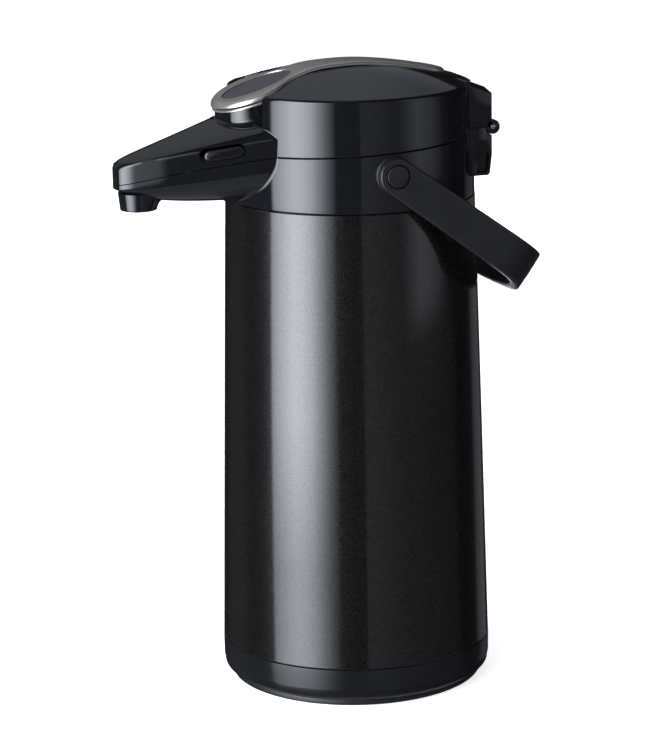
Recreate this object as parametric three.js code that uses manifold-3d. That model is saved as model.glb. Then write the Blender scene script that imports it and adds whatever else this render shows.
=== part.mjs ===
// Thermal coffee airpot: vacuum flask in a tapered casing, lever pump in a hinged lid, beak spout, bail handle.
// Millimetres, +Z up. Origin: centre of the flat underside of the swivel foot, on the flask's axis.
// The spout points along -Y, the lid hinge is at +Y, and the handle pivots lie on the X axis.
import * as THREE from 'three';
import { mergeVertices } from 'three/addons/utils/BufferGeometryUtils.js';
import Module from 'manifold-3d';

const wasm = await Module();
wasm.setup();

// ---------------------------------------------------------------- driving dimensions
const GAP = 0.3; // clearance between neighbouring pieces
const ROUND = 48; // facets round a large turned piece
const SMALL_ROUND = 20; // facets round a small turned piece

const FOOT = { radius: 74.8, rim: 3.7, top: 5.6, hub: 9, hubTop: 9.3, ringIn: 60, ringOut: 66, ringDepth: 1.5 };
const BASE = { radius: 79.7, bottom: 4.1, floor: 9, top: 23.3, spigot: 78.3, spigotTop: 30, wall: 2.5 };
const CASING = { bottom: 23.6, top: 289.6, bottomRadius: 80, topRadius: 72.9, wall: 1.2 };
const COLLAR = { bottom: 290, wall: 2.4, deck: 301, deckTop: 303.5, mouth: 34.5 };
const LINER = { bottom: 18.3, radius: 66.5, wall: 1.2, vacuum: 4.1, shoulder: 255, neck: 285, lip: 296, neckRadius: 38 };

const SEAM = { height: 323.4, slope: 0.045, halfGap: 0.15 }; // tilted parting plane of lid and collar
const LID = { rim: 353.2, rimRadius: 71.2, corner: 3, apex: 365.5, wall: 2.4, panBottom: 327.6, panTop: 329.6 };

const BEAK = {
  tipRadius: 15, tipY: -127, flare: 0.4, rootY: -58, backY: -48, wall: 2.2,
  seamDrop: 0.14, seamCurve: 0.0006, edgeTop: 331, edgeDrop: 0.15, edgeCurve: 0.0002,
  crownY: -87, crownZ: 336.7, crownSlope: 0.36,
};
const NOZZLE = { y: -127.5, radius: 11.2, topRadius: 12, bore: 8.2, bottom: 290.2 };

const LEVER = {
  tipY: -83.5, padY: -60, padLength: 23.5, padWidth: 28.5, strapWidth: 11.8, endY: 62,
  crownY: 1, crownZ: 367.7, crownRadius: 345, bendY: -30, padSlope: 0.33, plate: 3.2, slot: 0.8,
};
const LEVER_PIVOT = { y: 63.5, z: 349, pin: 2, eye: 3.9, length: 34 };
const SKIRT = { y: -62, length: 20.5, width: 23.5, wall: 2, bottom: 334.5, slope: 0.22 };
const INLAY = { y: -56.2, length: 20.2, width: 16, thickness: 0.8, recess: 1.2 };
const PUMP = { y: 8, radius: 42, plateBottom: 348.4, plateTop: 351 };

const HINGE = {
  y: 73.3, z: 329.2, knuckle: 4.2, swing: 4.8, pin: 1.4, inner: 15, middle: 28, width: 41.5, edge: 72, rear: 77.2,
  bottom: 300.5, chamfer: 4,
};
const HANDLE = {
  z: 311.7, restAngle: 36.3, outer: 80.5, thickness: 5.8, boss: 10.4, widthEnd: 11.4,
  straight: 77, cornerRadius: 30, bow: 18, gripDrop: 3,
};
const PIVOT = { flange: 9.8, stub: 4.6, button: 6.4, counterbore: 7, depth: 3 };
const LATCH = { y: -85.5, z: 321.9, length: 25, height: 5.6, rise: 0.055, depth: 8, proud: 1.6 };
const TUBE = { outer: 5, bore: 3.4, foot: 34, top: 300.6 };
const PIPE = { height: 311.5, noseY: -112 };

// ---------------------------------------------------------------- materials
const finish = (color, roughness, metalness) => new THREE.MeshStandardMaterial({ color, roughness, metalness });
const FINISH = {
  glossBlack: finish(0x0b0c0e, 0.15, 0.0),
  matteBlack: finish(0x1a1b1d, 0.5, 0.0),
  casing: finish(0x26262a, 0.3, 0.6),
  silver: finish(0xa9a39c, 0.3, 0.9),
  inlay: finish(0x3a3c40, 0.5, 0.1),
  steel: finish(0xb4b6b8, 0.3, 1.0),
  rubber: finish(0x141414, 0.9, 0.0),
  silicone: finish(0xd8d8d4, 0.6, 0.0),
  plastic: finish(0x2a2b2d, 0.45, 0.0),
  clear: finish(0xe6e6e2, 0.35, 0.0),
};

// ---------------------------------------------------------------- solids
function toSolid(geometry) {
  const bare = geometry.index ? geometry.toNonIndexed() : geometry.clone();
  bare.deleteAttribute('normal');
  bare.deleteAttribute('uv');
  const merged = mergeVertices(bare, 1e-3);
  const place = merged.getAttribute('position');
  const faces = [];
  let volume = 0;
  for (let i = 0; i < merged.index.count; i += 3) {
    const [a, b, c] = [0, 1, 2].map((k) => merged.index.getX(i + k));
    if (a === b || b === c || a === c) continue;
    const [p, q, r] = [a, b, c].map((k) => new THREE.Vector3().fromBufferAttribute(place, k));
    volume += p.dot(q.cross(r));
    faces.push([a, b, c]);
  }
  const triVerts = new Uint32Array(faces.map(([a, b, c]) => (volume > 0 ? [a, b, c] : [a, c, b])).flat());
  return new wasm.Manifold(new wasm.Mesh({ numProp: 3, vertProperties: new Float32Array(place.array), triVerts }));
}

function toGeometry(solid) {
  const mesh = solid.getMesh();
  const geometry = new THREE.BufferGeometry();
  geometry.setAttribute('position', new THREE.BufferAttribute(new Float32Array(mesh.vertProperties), 3));
  geometry.setIndex(new THREE.BufferAttribute(new Uint32Array(mesh.triVerts), 1));
  geometry.computeVertexNormals();
  return geometry;
}

// A profile of [radius, height] pairs turned about Z; it starts and ends on the axis, or is closed here.
function turned(profile, segments = ROUND) {
  const onAxis = profile[0][0] === 0 && profile.at(-1)[0] === 0;
  const loop = onAxis ? profile : [...profile, profile[0]];
  const lathe = new THREE.LatheGeometry(loop.map(([r, z]) => new THREE.Vector2(r, z)), segments);
  return toSolid(lathe.rotateX(Math.PI / 2));
}

const ring = (inner, outer, low, high, segments = ROUND) =>
  turned([[inner, low], [outer, low], [outer, high], [inner, high]], segments);

const disc = (radius, low, high, segments = ROUND) =>
  turned([[0, low], [radius, low], [radius, high], [0, high]], segments);

// A cylinder lying along X between two planes, at a height and a distance from the axis.
function rod(radius, x0, x1, y, z, segments = SMALL_ROUND) {
  const cylinder = new THREE.CylinderGeometry(radius, radius, x1 - x0, segments);
  return toSolid(cylinder.rotateZ(Math.PI / 2).translate((x0 + x1) / 2, y, z));
}

function block(x0, x1, y0, y1, z0, z1) {
  const box = new THREE.BoxGeometry(x1 - x0, y1 - y0, z1 - z0);
  return toSolid(box.translate((x0 + x1) / 2, (y0 + y1) / 2, (z0 + z1) / 2));
}

// An outline drawn in the Y-Z plane as [y, z] pairs and carried across from x0 to x1.
function profileAcross(points, x0, x1) {
  const shape = new THREE.Shape(points.map(([y, z]) => new THREE.Vector2(y, z)));
  const plate = new THREE.ExtrudeGeometry(shape, { depth: x1 - x0, bevelEnabled: false });
  const turn = new THREE.Matrix4().makeBasis(
    new THREE.Vector3(0, 1, 0), new THREE.Vector3(0, 0, 1), new THREE.Vector3(1, 0, 0));
  return toSolid(plate.applyMatrix4(turn).translate(x0, 0, 0));
}

// A plan outline of [x, y] pairs raised from one height to another.
function prism(points, low, high) {
  const shape = new THREE.Shape(points.map(([x, y]) => new THREE.Vector2(x, y)));
  const plate = new THREE.ExtrudeGeometry(shape, { depth: high - low, bevelEnabled: false });
  return toSolid(plate.translate(0, 0, low));
}

// The triangles that close one end of a skin, wound to follow its outline or to run against it.
function capFaces(section, offset, forward) {
  const outline = section.map(([x, , z]) => new THREE.Vector2(x, z));
  const keep = THREE.ShapeUtils.isClockWise(outline) !== forward;
  return THREE.ShapeUtils.triangulateShape(outline, [])
    .flatMap((face) => (keep ? face : face.reverse()).map((i) => offset + i));
}

// A skin through sections of [x, y, z] points, with flat ends.
function lofted(sections) {
  const points = sections.flat();
  const count = sections[0].length;
  const last = (sections.length - 1) * count;
  const faces = [...capFaces(sections[0], 0, false), ...capFaces(sections.at(-1), last, true)];
  for (let s = 0; s < sections.length - 1; s += 1) {
    for (let i = 0; i < count; i += 1) {
      const next = (i + 1) % count;
      const [a, b, c, d] = [s * count + i, s * count + next, (s + 1) * count + i, (s + 1) * count + next];
      faces.push(a, b, d, a, d, c);
    }
  }
  const geometry = new THREE.BufferGeometry();
  geometry.setAttribute('position', new THREE.Float32BufferAttribute(points.flat(), 3));
  geometry.setIndex(faces);
  return toSolid(geometry);
}

// A round bar or tube along a curve.
function along(curve, radius, steps, sides = 10) {
  const circle = new THREE.Shape();
  circle.absarc(0, 0, radius, 0, 2 * Math.PI, false);
  const bar = new THREE.ExtrudeGeometry(circle, { steps, extrudePath: curve, curveSegments: sides / 2 });
  return toSolid(bar);
}

const spread = (from, to, count) => Array.from({ length: count }, (_, i) => from + ((to - from) * i) / (count - 1));
const mirrored = (points) => [...points, ...points.slice().reverse().map(([x, y]) => [-x, y])];
const ellipse = (cy, width, length, count) =>
  spread(0, 2 * Math.PI, count + 1).slice(0, -1).map((t) => [width * Math.cos(t), cy + length * Math.sin(t)]);

const airpot = new THREE.Group();
function add(name, solid, material) {
  const mesh = new THREE.Mesh(toGeometry(solid), material);
  mesh.name = name;
  airpot.add(mesh);
}

// ---------------------------------------------------------------- shapes shared by several pieces
const shellRadius = (z) =>
  CASING.bottomRadius - ((z - CASING.bottom) * (CASING.bottomRadius - CASING.topRadius)) / (CASING.top - CASING.bottom);

function seamHeight(y) {
  const run = Math.max(0, BEAK.rootY - y);
  const plane = SEAM.height + SEAM.slope * Math.max(y, BEAK.rootY);
  return plane - BEAK.seamDrop * run - BEAK.seamCurve * run * run;
}

// Everything on one side of the parting surface; side is +1 above it and -1 below it.
function seamCutter(side) {
  const far = SEAM.height + side * 120;
  const line = [...spread(-150, BEAK.rootY, 10), 90].map((y) => [y, seamHeight(y) - side * SEAM.halfGap]);
  return profileAcross([...line, [90, far], [-150, far]], -120, 120);
}
const aboveSeam = seamCutter(1);
const belowSeam = seamCutter(-1);

function beakWidth(y, inset) {
  if (y >= BEAK.tipY) return BEAK.tipRadius + (y - BEAK.tipY) * BEAK.flare - inset;
  return Math.sqrt(Math.max(0.25, (BEAK.tipRadius - inset) ** 2 - (y - BEAK.tipY) ** 2));
}

function beakStations(inset) {
  const nose = spread(80, 12, 6).map((a) => BEAK.tipY - (BEAK.tipRadius - inset) * Math.sin((a * Math.PI) / 180));
  return [...nose, ...spread(BEAK.tipY, BEAK.backY, 8)];
}

function beakTopSection(y, inset) {
  const run = BEAK.rootY - y;
  const width = beakWidth(y, inset);
  const crown = BEAK.crownZ + BEAK.crownSlope * (Math.min(y, -66) - BEAK.crownY) - inset;
  const edge = Math.min(BEAK.edgeTop - BEAK.edgeDrop * run - BEAK.edgeCurve * run * run - inset, crown - 0.3);
  const arch = spread(-1, 1, 13).map((t) => {
    const fall = 0.78 * Math.abs(t) ** 1.56 + 0.22 * t ** 10;
    return [width * t, y, crown - (crown - edge) * fall];
  });
  const foot = seamHeight(y) - 4;
  return [[-width, y, foot], ...arch, [width, y, foot]];
}

function beakBottomSection(y, inset) {
  const width = beakWidth(y, inset);
  const top = seamHeight(y);
  const rise = Math.max(0, -76 - y) / 64;
  const depth = top - (290.8 + 2.6 * rise + 6 * rise ** 3 + inset);
  const bowl = spread(0, Math.PI, 15).map((t) => {
    const [c, s] = [Math.cos(t), Math.sin(t)];
    return [width * Math.sign(c) * Math.abs(c) ** 0.95, y, top - depth * s ** 0.95];
  });
  return [[width, y, top + 4], ...bowl, [-width, y, top + 4]];
}

const beakTop = (inset) => lofted(beakStations(inset).map((y) => beakTopSection(y, inset)));
const beakBottom = (inset) => lofted(beakStations(inset).map((y) => beakBottomSection(y, inset)));

// Half-width of the lever in plan: an oval pad that narrows into a long strap.
function leverWidth(y) {
  const oval = LEVER.padWidth * Math.sqrt(Math.max(0, 1 - ((y - LEVER.padY) / LEVER.padLength) ** 2));
  if (y < LEVER.padY) return oval;
  const shoulder = LEVER.strapWidth + 17 * Math.exp(-(((y - LEVER.padY) / 21) ** 2));
  return Math.min(LEVER.padWidth, shoulder);
}

function leverTop(y) {
  const parabola = (at) => LEVER.crownZ - (at - LEVER.crownY) ** 2 / LEVER.crownRadius;
  if (y > LEVER.bendY) return parabola(y);
  const run = LEVER.bendY - y;
  return parabola(LEVER.bendY) - LEVER.padSlope * run + 0.9 * (1 - Math.exp(-run / 6));
}

function leverStations(tip, end) {
  const nose = spread(78, 12, 5).map((a) => LEVER.padY - (LEVER.padY - tip) * Math.sin((a * Math.PI) / 180));
  return [...nose, ...spread(LEVER.padY, end, 15)];
}

// The lever's plan outline, offset by a margin.
function leverOutline(margin, end) {
  const ys = leverStations(LEVER.tipY, end);
  const side = ys.map((y) => [Math.max(0.5, leverWidth(y)) + margin, y]);
  side[0][1] -= margin;
  return mirrored(side);
}
const leverSlot = prism(leverOutline(LEVER.slot, LEVER.endY + 6), 331, 380);

// ---------------------------------------------------------------- swivel foot
function swivelFoot() {
  const { radius, rim, top, hub, hubTop, ringIn, ringOut, ringDepth } = FOOT;
  const depth = ringDepth + GAP;
  const plate = turned([
    [0, 0], [ringIn - GAP, 0], [ringIn - GAP, depth], [ringOut + GAP, depth], [ringOut + GAP, 0],
    [radius - 1, 0], [radius, 1], [radius, rim], [69, rim], [69, top], [hub, top], [hub, hubTop],
    [2.2, hubTop], [2.2, 3.5], [0, 3.5],
  ]);
  add('swivel_foot', plate, FINISH.plastic);
  add('anti_slip_ring', ring(ringIn, ringOut, 0, ringDepth), FINISH.rubber);
  add('swivel_washer', ring(2.4, 14, hubTop + GAP, hubTop + 1.5, SMALL_ROUND), FINISH.steel);
  const head = hubTop + 1.8;
  const screw = turned([[0, 4.2], [1.8, 4.2], [1.8, head], [4, head], [3.2, head + 2.2], [0, head + 2.2]], SMALL_ROUND);
  add('swivel_screw', screw, FINISH.steel);
}

// ---------------------------------------------------------------- base, casing and flask
function baseRing() {
  const { radius, bottom, floor, top, spigot, spigotTop, wall } = BASE;
  const hole = FOOT.hub + 0.4;
  const underside = FOOT.top + GAP;
  const body = turned([
    [hole, underside], [69.6, underside], [69.6, bottom], [76.8, bottom], [78.4, 5], [79.3, 6.8], [radius, 9.5],
    [radius, top], [spigot, top], [spigot, spigotTop], [spigot - wall, spigotTop], [spigot - wall, floor],
    [hole, floor],
  ]);
  add('base_ring', body, FINISH.matteBlack);
  add('liner_cushion', ring(28, 58, floor + GAP, LINER.bottom - GAP), FINISH.rubber);
}

function outerCasing() {
  const { bottom, top, bottomRadius, topRadius, wall } = CASING;
  const tube = turned([
    [bottomRadius - wall, bottom], [bottomRadius, bottom], [topRadius, top], [topRadius - wall, top],
  ]);
  add('outer_casing', tube, FINISH.casing);
}

function vacuumFlask() {
  const { bottom, radius, wall, vacuum, shoulder, neck, lip, neckRadius } = LINER;
  const inside = radius - wall;
  const shell = turned([
    [0, bottom], [radius - 8, bottom], [radius, bottom + 8], [radius, shoulder], [radius - 6, shoulder + 14],
    [neckRadius, neck], [neckRadius, lip], [neckRadius - wall, lip], [neckRadius - wall, neck - 0.6],
    [inside - 6, shoulder + 13], [inside, shoulder - 0.5], [inside, bottom + 8.5], [inside - 7.5, bottom + wall],
    [0, bottom + wall],
  ]);
  add('flask_outer_wall', shell, FINISH.steel);
  const [outer, low] = [inside - vacuum, bottom + wall + 6.5];
  const mouth = neckRadius - wall - 1.8;
  const bottle = turned([
    [0, low], [outer - 8, low], [outer, low + 8], [outer, shoulder - 2], [outer - 6, shoulder + 9],
    [mouth, neck - 4], [mouth, lip + GAP], [neckRadius, lip + GAP], [neckRadius, lip + 1.5],
    [mouth - wall, lip + 1.5], [mouth - wall, neck - 4.6], [outer - 7.2, shoulder + 8],
    [outer - wall, shoulder - 2.5], [outer - wall, low + 8.5], [outer - 8.5, low + wall], [0, low + wall],
  ]);
  add('flask_inner_wall', bottle, FINISH.steel);
  add('vacuum_seal_cap', disc(8, bottom - 2.2, bottom - GAP, SMALL_ROUND), FINISH.steel);
  add('neck_gasket', ring(mouth, 39, lip + 1.8, COLLAR.deck - GAP), FINISH.silicone);
}

// The middle line of the spout pipe: up out of the dip tube, forward over the deck, down into the nozzle.
function pipeRoute() {
  const { height, noseY } = PIPE;
  const points = [[0, TUBE.top + GAP], [0, height - 7], [-2.5, height - 2], [-8, height],
    [-60, height], [noseY, height - 1], [noseY - 10, height - 6], [NOZZLE.y, height - 14],
    [NOZZLE.y, NOZZLE.bottom + 2]];
  return new THREE.CatmullRomCurve3(points.map(([y, z]) => new THREE.Vector3(0, y, z)));
}

// ---------------------------------------------------------------- collar with the lower beak
// Plan outline of the hinge housing: square sides and a gently bowed back.
function hingeOutline(margin) {
  const { width, edge, rear } = HINGE;
  const back = spread(1, -1, 9).map((t) => [t * (width + margin), edge + (rear - edge) * (1 - t * t) + margin]);
  return [[-width - margin, 56], [width + margin, 56], ...back];
}

function shoulderCollar() {
  const { bottom, wall, deck, deckTop, mouth } = COLLAR;
  const top = 332;
  const [low, high] = [shellRadius(bottom), shellRadius(top)];
  const spigot = CASING.topRadius - CASING.wall - GAP - 0.3;
  const outside = turned([
    [mouth, deck], [spigot - wall, deck], [spigot - wall, bottom - 7], [spigot, bottom - 7], [spigot, bottom],
    [low, bottom], [high, top], [high - wall, top], [high - wall, deckTop], [mouth, deckTop],
  ]);
  const nose = new THREE.CylinderGeometry(NOZZLE.topRadius, NOZZLE.radius, 16, 28).rotateX(Math.PI / 2);
  const nozzle = toSolid(nose.translate(0, NOZZLE.y, NOZZLE.bottom + 8));
  const passage = new THREE.CylinderGeometry(NOZZLE.bore, NOZZLE.bore, 30, 24).rotateX(Math.PI / 2);
  const bore = toSolid(passage.translate(0, NOZZLE.y, NOZZLE.bottom + 10));
  const well = disc(high - wall, deckTop, 340);
  const beak = beakBottom(0).subtract(disc(high - wall, 280, 340)).add(nozzle);
  const collar = outside.add(beak).subtract(beakBottom(BEAK.wall).subtract(disc(high - wall, 280, deckTop)));
  const pipeHole = along(pipeRoute(), TUBE.outer + 0.5, 28, 10);
  add('shoulder_collar', collar.subtract(bore).subtract(well).subtract(pipeHole).subtract(aboveSeam), FINISH.glossBlack);
}

// ---------------------------------------------------------------- lid with the upper beak
function domeProfile(inset) {
  const { rim, rimRadius, corner, apex, wall } = LID;
  const radius = rimRadius - inset;
  const edge = rimRadius - corner;
  const rise = apex - rim - corner / 2;
  const points = spread(0, edge, 8).map((r) => [r, apex - inset - rise * (r / edge) ** 2]);
  const lower = shellRadius(310) - inset;
  return [[0, 300], [lower, 300], [lower, 318], [radius, rim - inset], [radius - 0.9, rim + 1 - inset],
    ...points.reverse()];
}

function lidShell() {
  const hinge = prism(hingeOutline(GAP), 320, 380).subtract(disc(shellRadius(325) - 0.2, 320, 380));
  const shell = turned(domeProfile(0)).add(beakTop(0));
  const inside = turned(domeProfile(LID.wall)).add(beakTop(BEAK.wall));
  const windows = latchWindow(1).add(latchWindow(-1));
  const lugs = rod(5.5, 13.5, 17.5, LEVER_PIVOT.y, LEVER_PIVOT.z - 1).add(rod(5.5, -17.5, -13.5, LEVER_PIVOT.y, LEVER_PIVOT.z - 1));
  const rear = turned(domeProfile(0.5));
  const holder = lugs.add(block(13.5, 17.5, 58, 72, 340, 349)).add(block(-17.5, -13.5, 58, 72, 340, 349));
  const pinHole = rod(LEVER_PIVOT.pin + GAP, -20, 20, LEVER_PIVOT.y, LEVER_PIVOT.z);
  const room = knuckles(HINGE.inner - GAP, HINGE.middle + GAP, HINGE.swing);
  const whole = shell.subtract(inside).subtract(leverSlot).add(holder.intersect(rear)).subtract(pinHole).subtract(room);
  add('lid_shell', whole.subtract(windows).subtract(hinge).subtract(belowSeam), FINISH.glossBlack);
}

function lidUnderside() {
  const radius = shellRadius(LID.panTop) - LID.wall - 1.2;
  const { y, width, length } = SKIRT;
  const notch = prism(ellipse(y, width + 1.2, length + 1.2, 32), LID.panBottom - 1, LID.panTop + 1);
  add('lid_pan', disc(radius, LID.panBottom, LID.panTop).subtract(notch), FINISH.plastic);
  const seal = ring(20, 26, LID.panBottom - 4, LID.panBottom - GAP, 32);
  add('lid_seal', seal, FINISH.silicone);
}

// ---------------------------------------------------------------- latches on the sides of the beak
// A box along the slanting side of the beak, from a depth inside it to a distance outside it.
function sideBox(side, length, height, inner, outer) {
  const box = new THREE.BoxGeometry(outer - inner, length, height);
  box.translate((outer + inner) / 2, 0, 0);
  box.rotateX(LATCH.rise).rotateZ(-Math.atan(BEAK.flare));
  box.translate(beakWidth(LATCH.y, 0), LATCH.y, LATCH.z);
  if (side < 0) box.scale(-1, 1, 1);
  return toSolid(box);
}
const latchWindow = (side) => sideBox(side, LATCH.length + 2, LATCH.height + 1.2, -LATCH.depth, 4);

function latches() {
  for (const [side, label] of [[1, 'left'], [-1, 'right']]) {
    const tab = sideBox(side, LATCH.length, LATCH.height - 0.2, -6, LATCH.proud);
    add(`latch_tab_${label}`, tab, FINISH.glossBlack);
    const spring = new THREE.CylinderGeometry(2, 2, 3, 12).rotateZ(Math.PI / 2).translate(-10.2, 0, 0);
    spring.rotateZ(-Math.atan(BEAK.flare)).translate(beakWidth(LATCH.y, 0), LATCH.y, LATCH.z);
    if (side < 0) spring.scale(-1, 1, 1);
    add(`latch_spring_${label}`, toSolid(spring), FINISH.steel);
  }
}

// ---------------------------------------------------------------- rear hinge
function knuckles(x0, x1, radius) {
  return rod(radius, x0, x1, HINGE.y, HINGE.z).add(rod(radius, -x1, -x0, HINGE.y, HINGE.z));
}

function lidHinge() {
  const { y, z, width, knuckle, swing, inner, middle, chamfer, bottom, pin } = HINGE;
  const pinHole = rod(pin + GAP, -60, 60, y, z);
  const roof = profileAcross([[50, z + 0.2], [y - 0.8, z + 0.2], [y + chamfer, z + 0.2 + chamfer * 1.3],
    [90, 341], [71.5, 348.6], [59, 353.8], [50, 353.8]], -60, 60);
  const cover = prism(hingeOutline(0), 320, 370).intersect(roof).subtract(turned(domeProfile(-GAP)));
  const lidSide = cover.add(knuckles(middle + GAP, width, knuckle)).subtract(knuckles(inner - GAP, middle + GAP, swing));
  add('lid_hinge_cover', lidSide.subtract(pinHole), FINISH.matteBlack);
  const side = profileAcross([[50, bottom], [68, bottom], [71, bottom + 3], [74, 314], [90, 322], [90, z - 0.2 - chamfer * 1.3],
    [y + chamfer, z - 0.2 - chamfer * 1.3], [y - 0.8, z - 0.2], [50, z - 0.2]], -60, 60);
  const rest = turned([[0, 290], [shellRadius(290) + GAP, 290], [shellRadius(335) + GAP, 335], [0, 335]]);
  const plate = prism(hingeOutline(0), 290, 335).intersect(side);
  const bodySide = plate.add(knuckles(inner, middle, knuckle)).subtract(knuckles(middle, width + 9, swing));
  add('hinge_bracket', bodySide.subtract(rest).subtract(pinHole), FINISH.matteBlack);
  add('hinge_pin', rod(pin, -width, width, y, z, 12), FINISH.steel);
}

// ---------------------------------------------------------------- lever
function leverSection(y, inset, top, bottom, bevel) {
  const half = Math.max(0.6, leverWidth(y) - inset);
  const cut = Math.min(bevel, half * 0.5);
  const drop = cut * 0.55;
  return [[-half, y, bottom], [half, y, bottom], [half, y, top - drop], [half - cut, y, top],
    [-half + cut, y, top], [-half, y, top - drop]];
}

function leverPlate() {
  const sections = leverStations(LEVER.tipY, LEVER.endY).map((y) => {
    const top = leverTop(y);
    return leverSection(y, 0, top, top - LEVER.plate, 3.4);
  });
  const tilt = Math.atan(LEVER.padSlope);
  const recessed = (grow, low, high) => {
    const outline = ellipse(0, INLAY.width + grow, INLAY.length + grow, 32);
    const shape = new THREE.Shape(outline.map(([x, y]) => new THREE.Vector2(x, y)));
    const plate = new THREE.ExtrudeGeometry(shape, { depth: high - low, bevelEnabled: false }).translate(0, 0, low);
    return toSolid(plate.rotateX(tilt).translate(0, INLAY.y, leverTop(INLAY.y)));
  };
  add('lever_plate', lofted(sections).subtract(recessed(GAP, -INLAY.recess, 12)), FINISH.silver);
  add('lever_inlay', recessed(0, GAP - INLAY.recess, INLAY.thickness - INLAY.recess), FINISH.inlay);
}

function leverArm() {
  const sections = leverStations(LEVER.tipY + 2, LEVER.endY - 2).map((y) => {
    const top = leverTop(y) - LEVER.plate - GAP;
    const depth = 2.2 + 2.6 * THREE.MathUtils.smoothstep(y, -40, -20);
    return leverSection(y, 2.2, top, top - depth, 0.8);
  });
  const { y, z, pin, eye, length } = LEVER_PIVOT;
  const barrel = rod(eye, -10, 10, y, z).add(block(-9, 9, 56, y, z - 2.5, z + 3.4));
  const clear = block(-30, 30, LEVER.endY + 0.4, 80, 340, 400).subtract(rod(eye, -10, 10, y, z));
  const cam = block(-7, 7, PUMP.y - 6, PUMP.y + 6, PUMP.plateTop + 0.5, leverTop(PUMP.y + 6) - LEVER.plate - 2);
  const arm = lofted(sections).add(barrel).add(cam).subtract(clear).subtract(rod(pin + GAP, -12, 12, y, z));
  add('lever_arm', arm, FINISH.glossBlack);
  add('lever_pivot_pin', rod(pin, -length / 2, length / 2, y, z, 12), FINISH.steel);
}

function leverSkirt() {
  const { y, length, width, wall, bottom, slope } = SKIRT;
  const outer = prism(ellipse(y, width, length, 32), bottom - 1, 380);
  const inner = prism(ellipse(y, width - wall, length - wall, 32), bottom - 2, 381);
  const under = (at) => leverTop(at) - LEVER.plate - 2.2 - 2 * GAP - 0.4;
  const line = spread(-90, -30, 9).map((at) => [at, under(at)]);
  const lid = profileAcross([...line, [-30, 400], [-90, 400]], -40, 40);
  const front = y - length;
  const rear = y + length + 2;
  const rise = slope * (rear - front);
  const floor = profileAcross([[front, bottom], [front, 300], [rear, 300], [rear, bottom + rise]], -40, 40);
  add('lever_skirt', outer.subtract(inner).subtract(lid).subtract(floor), FINISH.glossBlack);
}

// ---------------------------------------------------------------- pump
function pump() {
  const { y, radius, plateBottom, plateTop } = PUMP;
  const place = (solid) => solid.translate([0, y, 0]);
  add('press_plate', place(disc(radius, plateBottom, plateTop, 36)), FINISH.plastic);
  const folds = 4;
  const [low, high] = [LID.panTop + GAP, plateBottom - GAP];
  const pleat = (inset) => spread(0, folds * 2, folds * 2 + 1)
    .map((i) => [radius - inset - (i % 2 ? 5 : 0), low + ((high - low) * i) / (folds * 2)]);
  add('bellows', place(turned([...pleat(0), ...pleat(1.4).reverse()], 36)), FINISH.silicone);
  const coil = new THREE.CatmullRomCurve3(spread(0, 4 * 2 * Math.PI, 49).map((a) => new THREE.Vector3(
    22 * Math.cos(a), y + 22 * Math.sin(a), low + 1 + ((high - low - 2) * a) / (8 * Math.PI))));
  add('pump_spring', along(coil, 0.9, 56, 6), FINISH.steel);
}

// ---------------------------------------------------------------- stopper, dip tube and spout pipe
function pourPath() {
  const { outer, bore, foot, top } = TUBE;
  const mouth = COLLAR.mouth - 2.6;
  const plug = turned([[outer + GAP, 288], [mouth - 2, 288], [mouth, 291], [mouth, COLLAR.deckTop + GAP],
    [38, COLLAR.deckTop + GAP], [38, COLLAR.deckTop + 2], [16, COLLAR.deckTop + 2], [12, 299], [outer + GAP, 299]], 36);
  add('stopper_plug', plug, FINISH.plastic);
  add('dip_tube', ring(bore, outer, foot, top, 16), FINISH.clear);
  const cage = turned([[bore, foot - 5.5], [outer + 1.5, foot - 5.5], [outer + 1.5, foot + 8], [outer + GAP, foot + 8],
    [outer + GAP, foot - GAP], [bore, foot - GAP]], 16);
  add('valve_cage', cage, FINISH.plastic);
  const ball = new THREE.SphereGeometry(2.9, 14, 10).rotateX(Math.PI / 2).translate(0, 0, foot + 3.2);
  add('valve_ball', toSolid(ball), FINISH.steel);
  add('spout_pipe', along(pipeRoute(), outer, 28, 10).subtract(along(pipeRoute(), bore, 28, 10)), FINISH.clear);
}

// ---------------------------------------------------------------- handle
// A point of the bail: distance s along the arm, offset w across the strap, at a width x.
function handlePoint(x, s, w) {
  const angle = THREE.MathUtils.degToRad(HANDLE.restAngle);
  const [c, n] = [Math.cos(angle), Math.sin(angle)];
  return [x, s * c + w * n, HANDLE.z - s * n + w * c];
}

// The middle line of the strap from one pivot to the other, as [x, s, turn] triples.
function bailPath() {
  const { outer, thickness, straight, cornerRadius, bow } = HANDLE;
  const x0 = outer - thickness / 2;
  const turn = THREE.MathUtils.degToRad(90 - bow);
  const corner = spread(0, turn, 7).map((a) => [
    x0 - cornerRadius * (1 - Math.cos(a)), straight + cornerRadius * Math.sin(a), a]);
  const [xEnd, sEnd] = corner.at(-1);
  const bowRadius = xEnd / Math.cos(turn);
  const grip = spread(turn, Math.PI / 2, 4).slice(1).map((a) => [
    bowRadius * Math.cos(a), sEnd + bowRadius * (Math.sin(a) - Math.sin(turn)), a]);
  const half = [[x0, -HANDLE.boss * 0.2, 0], [x0, 40, 0], ...corner, ...grip];
  return [...half, ...half.slice(0, -1).reverse().map(([x, s, a]) => [-x, s, Math.PI - a])];
}

function bailStrap() {
  const { boss, widthEnd, thickness, gripDrop } = HANDLE;
  const sections = bailPath().map(([x, s, a]) => {
    const along = Math.min(1, Math.max(0, s) / 100);
    const half = boss + (widthEnd - boss) * along;
    const low = half + gripDrop * Math.sin(a) ** 4;
    const [nx, ns] = [Math.cos(a), Math.sin(a)];
    const corners = [[thickness / 2, -low], [thickness / 2, half], [-thickness / 2, half], [-thickness / 2, -low]];
    return corners.map(([t, w]) => handlePoint(x + nx * t, s + ns * t, w));
  });
  return lofted(sections);
}

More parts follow.
